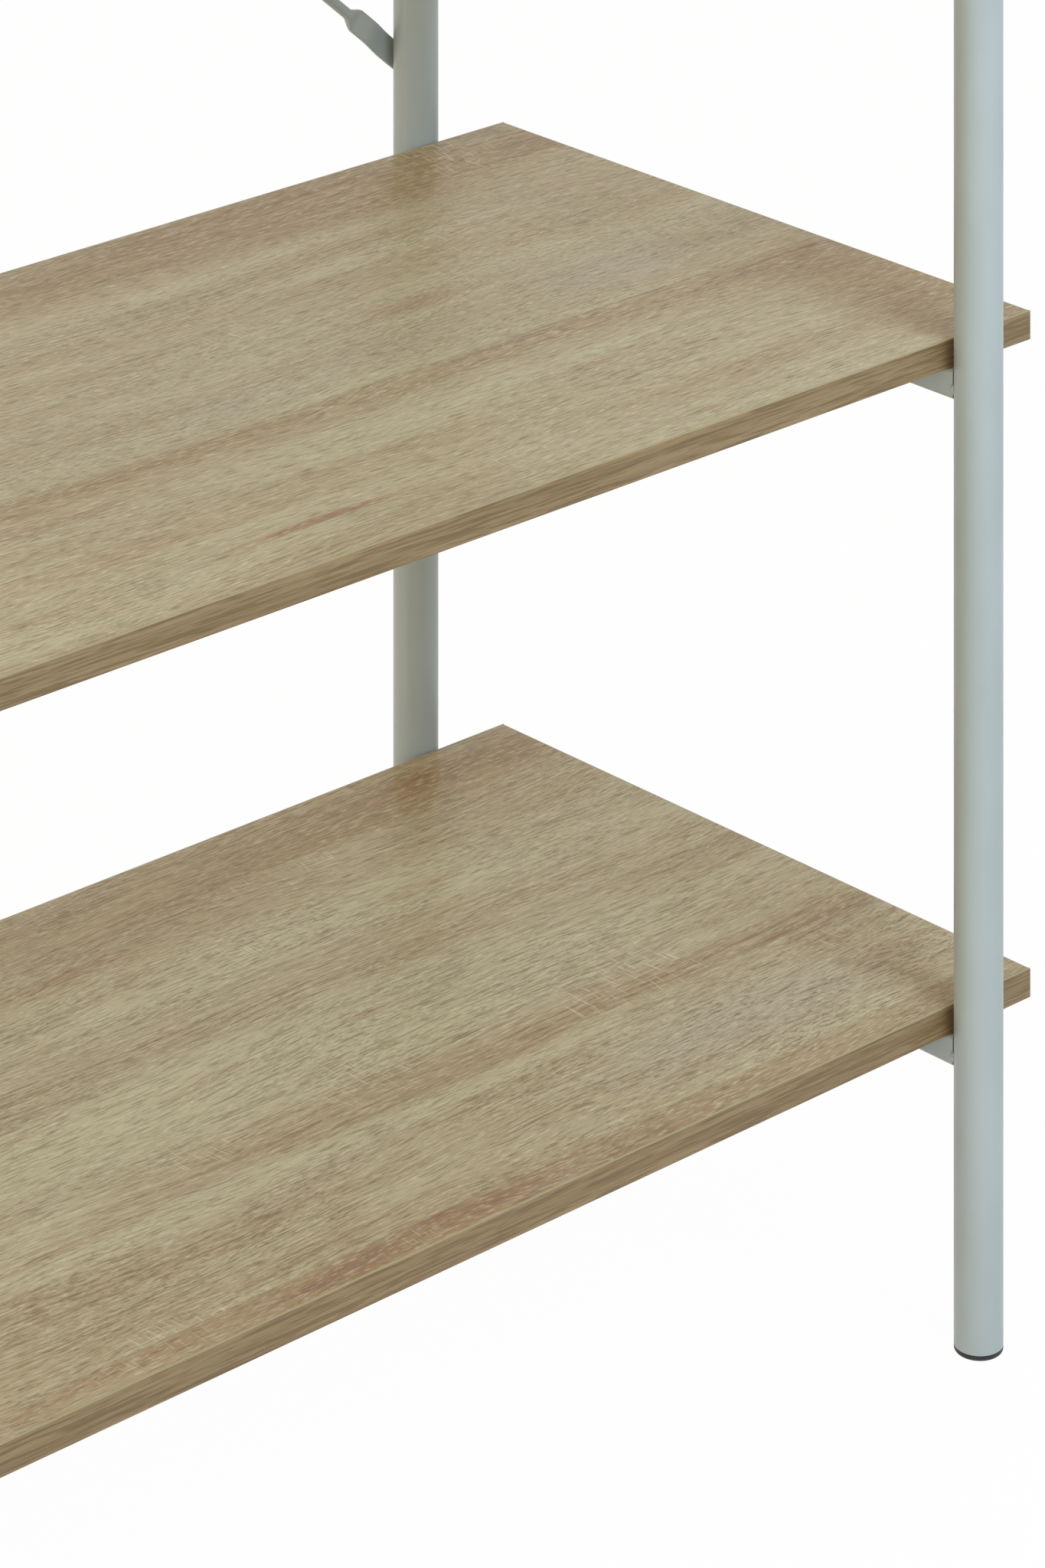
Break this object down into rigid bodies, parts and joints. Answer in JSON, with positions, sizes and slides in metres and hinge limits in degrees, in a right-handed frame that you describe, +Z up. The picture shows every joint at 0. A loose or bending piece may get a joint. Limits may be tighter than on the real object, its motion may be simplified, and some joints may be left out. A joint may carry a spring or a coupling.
{
  "type": "shelving unit",
  "caption": "Free-standing open shelving unit with oak-look laminated boards on white tubular steel side ladders, push-in foot glides and a crossed rod brace across the rear.",
  "frame": {"origin": "on the floor under the middle of the shelves", "axes": "+X along the shelves to the right, +Y from the front to the rear, +Z up"},
  "size_m": [0.8, 0.4601, 1.55],
  "materials": {
    "oak_laminate": "embossed oak-look melamine laminate on particle board, satin",
    "oak_edge_band": "printed oak-look plastic edging",
    "white_powder_coat": "smooth satin powder coat on steel tube and rod",
    "zinc_steel": "bright zinc plate",
    "black_plastic": "moulded plastic"
  },
  "bodies": {
    "root": {"brace_rivet_nuts": "zinc_steel", "brace_rod_front": "white_powder_coat", "brace_rod_rear": "white_powder_coat", "brace_screws": "zinc_steel", "edge_band_front_1": "oak_edge_band", "edge_band_front_2": "oak_edge_band", "edge_band_front_3": "oak_edge_band", "edge_band_front_4": "oak_edge_band", "edge_band_front_5": "oak_edge_band", "edge_band_left_1": "oak_edge_band", "edge_band_left_2": "oak_edge_band", "edge_band_left_3": "oak_edge_band", "edge_band_left_4": "oak_edge_band", "edge_band_left_5": "oak_edge_band", "edge_band_rear_1": "oak_edge_band", "edge_band_rear_2": "oak_edge_band", "edge_band_rear_3": "oak_edge_band", "edge_band_rear_4": "oak_edge_band", "edge_band_rear_5": "oak_edge_band", "edge_band_right_1": "oak_edge_band", "edge_band_right_2": "oak_edge_band", "edge_band_right_3": "oak_edge_band", "edge_band_right_4": "oak_edge_band", "edge_band_right_5": "oak_edge_band", "foot_glide_front_left": "black_plastic", "foot_glide_front_right": "black_plastic", "foot_glide_rear_left": "black_plastic", "foot_glide_rear_right": "black_plastic", "post_cap_front_left": "black_plastic", "post_cap_front_right": "black_plastic", "post_cap_rear_left": "black_plastic", "post_cap_rear_right": "black_plastic", "post_front_left": "white_powder_coat", "post_front_right": "white_powder_coat", "post_rear_left": "white_powder_coat", "post_rear_right": "white_powder_coat", "rail_left_1": "white_powder_coat", "rail_left_2": "white_powder_coat", "rail_left_3": "white_powder_coat", "rail_left_4": "white_powder_coat", "rail_left_5": "white_powder_coat", "rail_right_1": "white_powder_coat", "rail_right_2": "white_powder_coat", "rail_right_3": "white_powder_coat", "rail_right_4": "white_powder_coat", "rail_right_5": "white_powder_coat", "shelf_board_1": "oak_laminate", "shelf_board_2": "oak_laminate", "shelf_board_3": "oak_laminate", "shelf_board_4": "oak_laminate", "shelf_board_5": "oak_laminate", "shelf_screws": "zinc_steel", "tack_welds": "white_powder_coat"}
  },
  "joints": []
}
